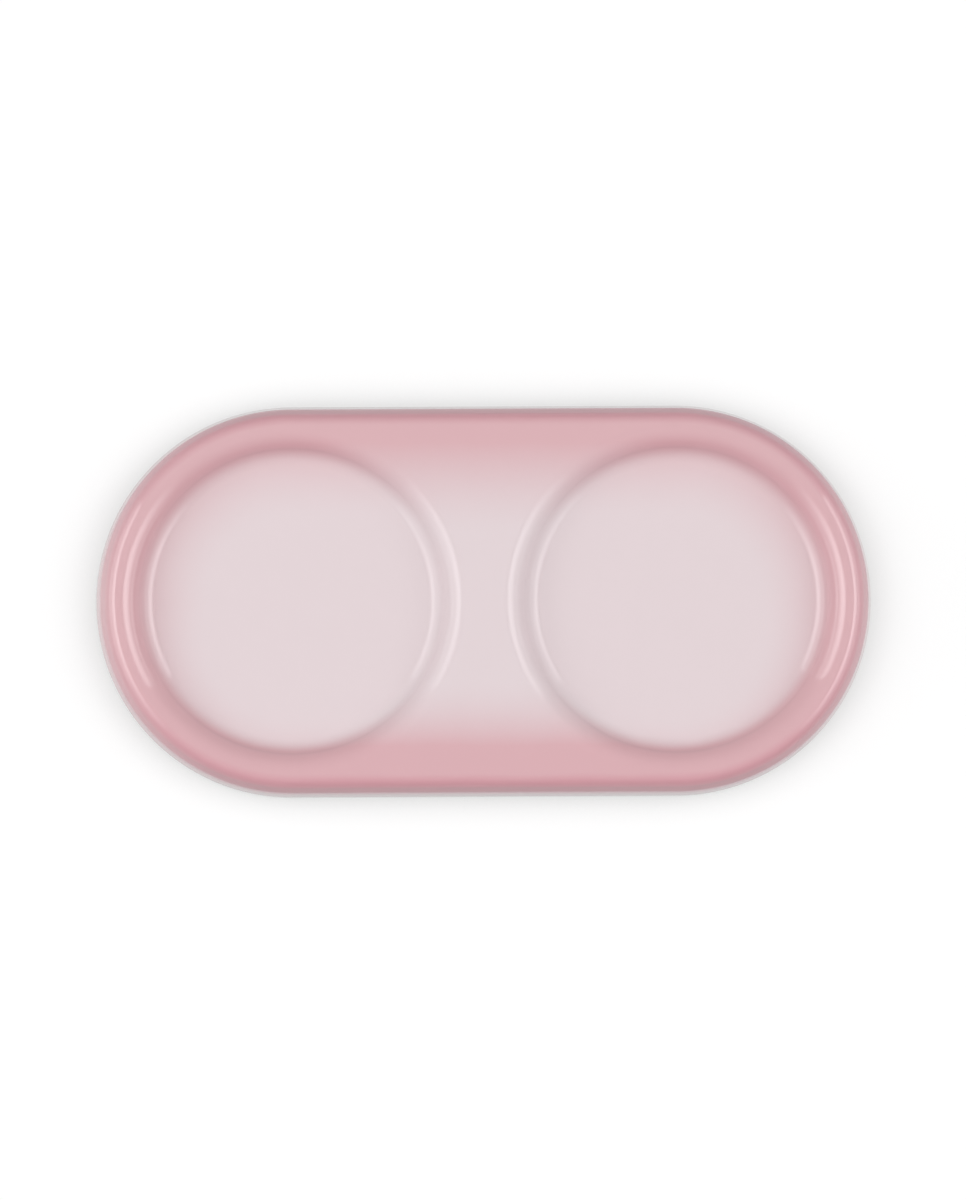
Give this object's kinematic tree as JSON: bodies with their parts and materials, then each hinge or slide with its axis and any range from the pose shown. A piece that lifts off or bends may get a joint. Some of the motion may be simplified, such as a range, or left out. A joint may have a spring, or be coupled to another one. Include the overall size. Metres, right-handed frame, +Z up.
{
  "type": "pepper mill tray",
  "caption": "Low pill-shaped glazed stoneware tray with round recessed wells that hold table mills side by side and catch spilt pepper and salt.",
  "frame": {"origin": "on the table, under the middle of the tray", "axes": "+X along the tray from one well to the other, +Y across it, +Z up"},
  "size_m": [0.1894, 0.0956, 0.016],
  "materials": {
    "bare_stoneware": "matte",
    "rose_glaze": "gloss",
    "pale_glaze": "gloss"
  },
  "bodies": {
    "root": {"stoneware_body": "bare_stoneware", "top_glaze": "rose_glaze", "underside_glaze": "pale_glaze"}
  },
  "joints": []
}
